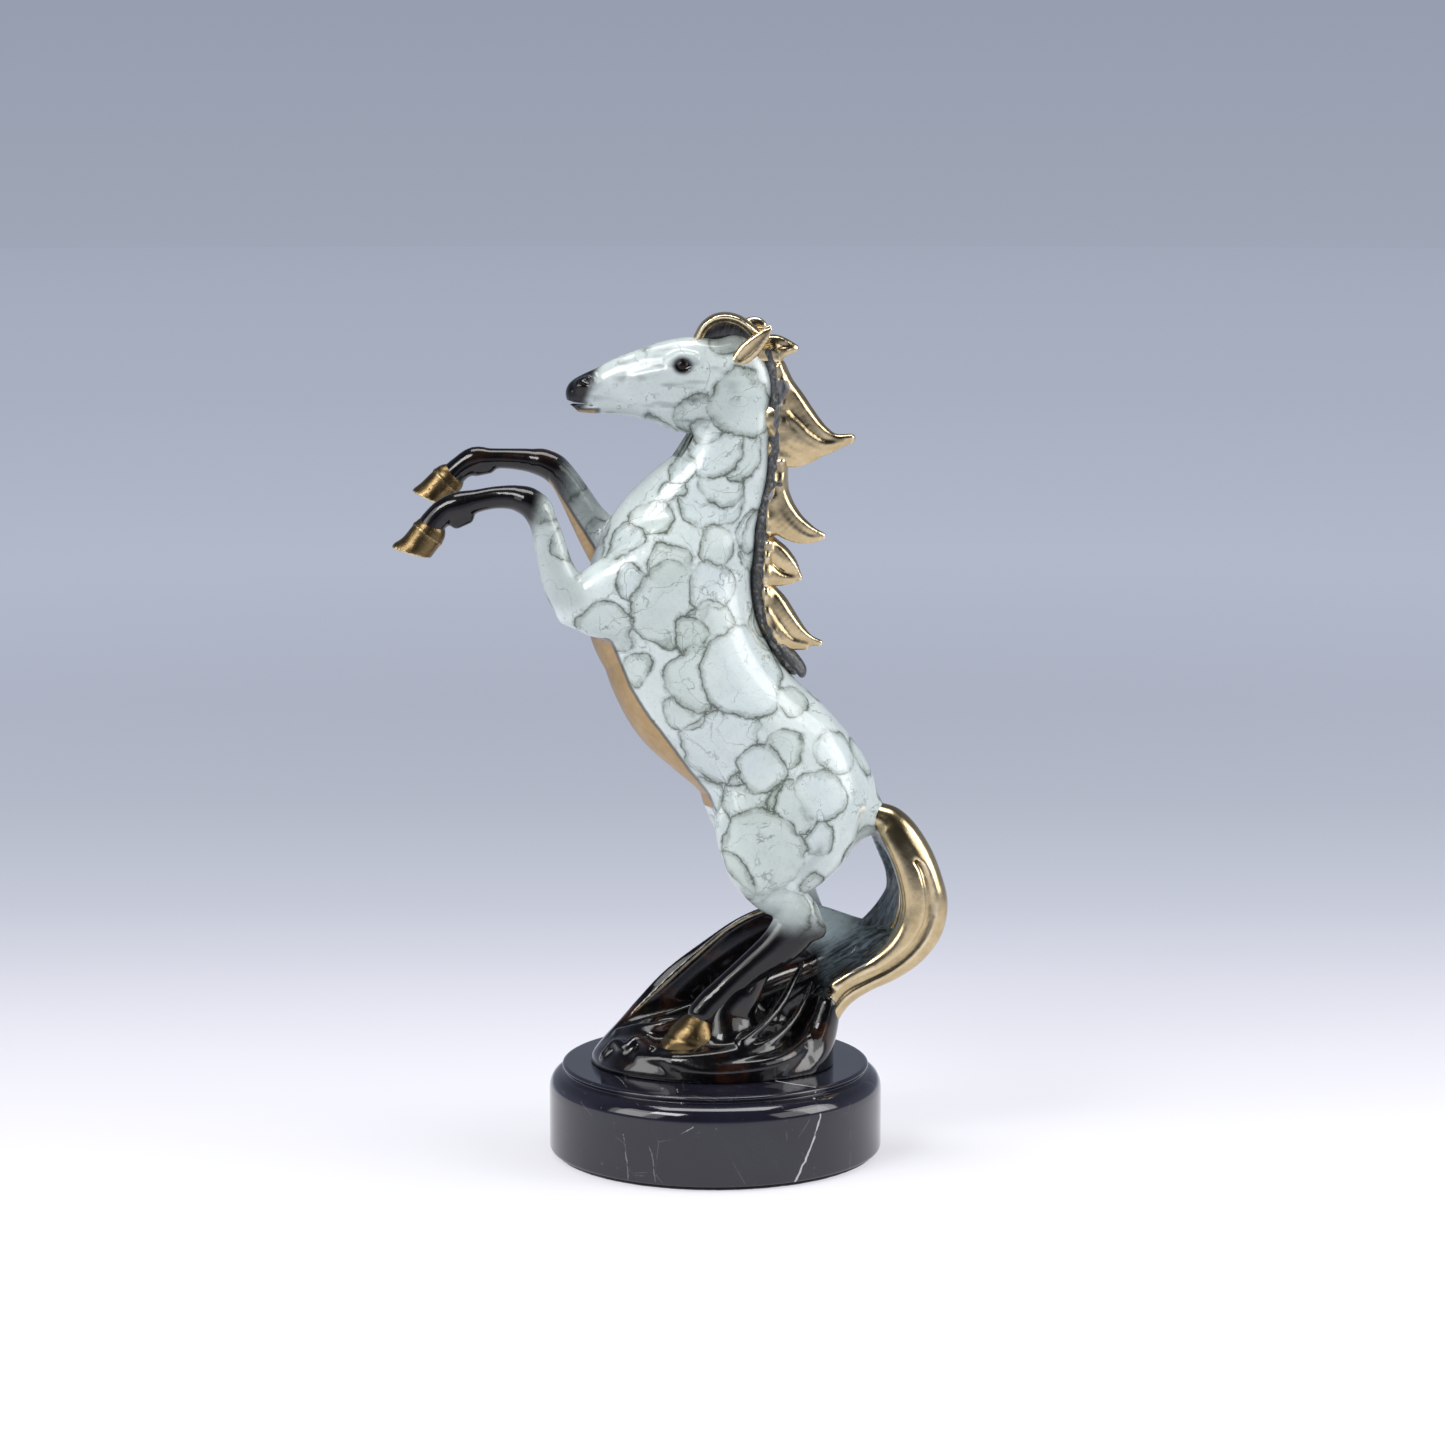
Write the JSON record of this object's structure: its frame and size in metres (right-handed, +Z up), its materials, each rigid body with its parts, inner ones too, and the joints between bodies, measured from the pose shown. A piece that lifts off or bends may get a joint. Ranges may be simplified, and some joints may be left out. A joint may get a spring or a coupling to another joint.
{
  "type": "bronze horse statue",
  "caption": "Rearing horse figurine cast in bronze, with marbled pale enamel, polished mane, tail and hooves, on a turned black marble plinth.",
  "frame": {"origin": "centre of the underside of the felt pad, where the plinth rests", "axes": "+Z up, -X the way the horse faces, -Y the horse's left side"},
  "size_m": [0.2009, 0.125, 0.3145],
  "materials": {
    "mint_enamel": "bronze under pale mint kiln enamel with grey-green stain rings, high gloss",
    "black_enamel": "bronze under black enamel, high gloss",
    "polished_bronze": "polished and waxed bronze with darker patina left in the hollows",
    "dark_patina": "dark grey chemical patina on rough cast bronze",
    "marble": "polished black marble with thin white veins",
    "felt": "dark self-adhesive felt",
    "steel": "zinc plated"
  },
  "bodies": {
    "root": {"felt_pad": "felt", "marble_plinth": "marble", "washer_front": "steel", "washer_rear": "steel", "mounting_bolt_front": "steel", "mounting_bolt_rear": "steel", "ground_mound": "black_enamel", "torso": "mint_enamel", "neck": "mint_enamel", "head": "mint_enamel", "eye_left": "black_enamel", "eye_right": "black_enamel", "ear_left": "polished_bronze", "ear_right": "polished_bronze", "forelock": "polished_bronze", "mane_crest": "dark_patina", "mane_lock_1": "polished_bronze", "mane_lock_2": "polished_bronze", "mane_lock_3": "polished_bronze", "mane_lock_4": "polished_bronze", "mane_lock_5": "polished_bronze", "mane_lock_6": "polished_bronze", "foreleg_left": "mint_enamel", "foreleg_right": "black_enamel", "fore_hoof_left": "polished_bronze", "fore_hoof_right": "polished_bronze", "hind_leg_left": "mint_enamel", "hind_leg_right": "mint_enamel", "hind_hoof_left": "polished_bronze", "hind_hoof_right": "polished_bronze", "tail": "polished_bronze"}
  },
  "joints": []
}
